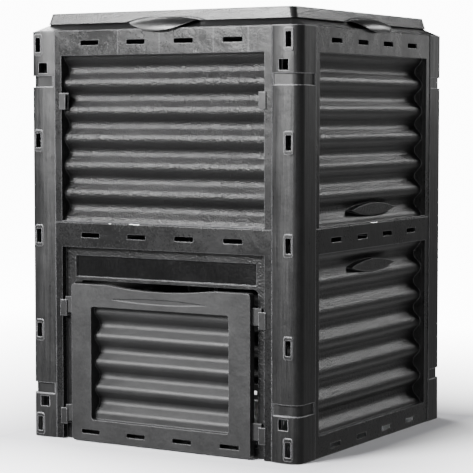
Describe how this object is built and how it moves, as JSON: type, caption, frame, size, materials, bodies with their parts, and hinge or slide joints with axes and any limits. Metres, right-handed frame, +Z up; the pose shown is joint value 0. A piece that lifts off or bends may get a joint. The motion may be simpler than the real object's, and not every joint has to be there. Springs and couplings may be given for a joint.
{
  "type": "compost bin",
  "caption": "Square garden compost bin with corrugated wall panels, slotted corner posts, a lift-off lid with finger grips and a lift-out front hatch.",
  "frame": {"origin": "centre of the open base, on the ground", "axes": "+Z up, -Y towards the hatch side, +X to the right when facing the hatch"},
  "size_m": [0.628, 0.628, 0.8355],
  "materials": {
    "post_plastic": "moulded black, satin",
    "panel_plastic": "moulded black, fine grain",
    "rim_plastic": "moulded black, satin",
    "hatch_plastic": "moulded black, smooth satin",
    "keeper_plastic": "moulded black, satin"
  },
  "bodies": {
    "frame": {"post_front_right": "post_plastic", "post_front_left": "post_plastic", "post_back_right": "post_plastic", "post_back_left": "post_plastic", "panel_upper_front": "panel_plastic", "panel_upper_right": "panel_plastic", "panel_upper_back": "panel_plastic", "panel_upper_left": "panel_plastic", "panel_lower_front": "panel_plastic", "panel_lower_right": "panel_plastic", "panel_lower_back": "panel_plastic", "panel_lower_left": "panel_plastic", "top_rim": "rim_plastic", "keeper_low_right": "keeper_plastic", "keeper_low_left": "keeper_plastic", "keeper_mid_right": "keeper_plastic", "keeper_mid_left": "keeper_plastic", "keeper_high_right": "keeper_plastic", "keeper_high_left": "keeper_plastic"},
    "lid": {"lid": "rim_plastic"},
    "hatch": {"hatch": "hatch_plastic"}
  },
  "joints": [
    {"name": "lid_lift", "type": "slide", "parent": "frame", "child": "lid", "axis": [0, 0, 1], "range_m": [0, 0.1]},
    {"name": "hatch_lift", "type": "slide", "parent": "frame", "child": "hatch", "axis": [0, 0, 1], "range_m": [0, 0.043]}
  ]
}
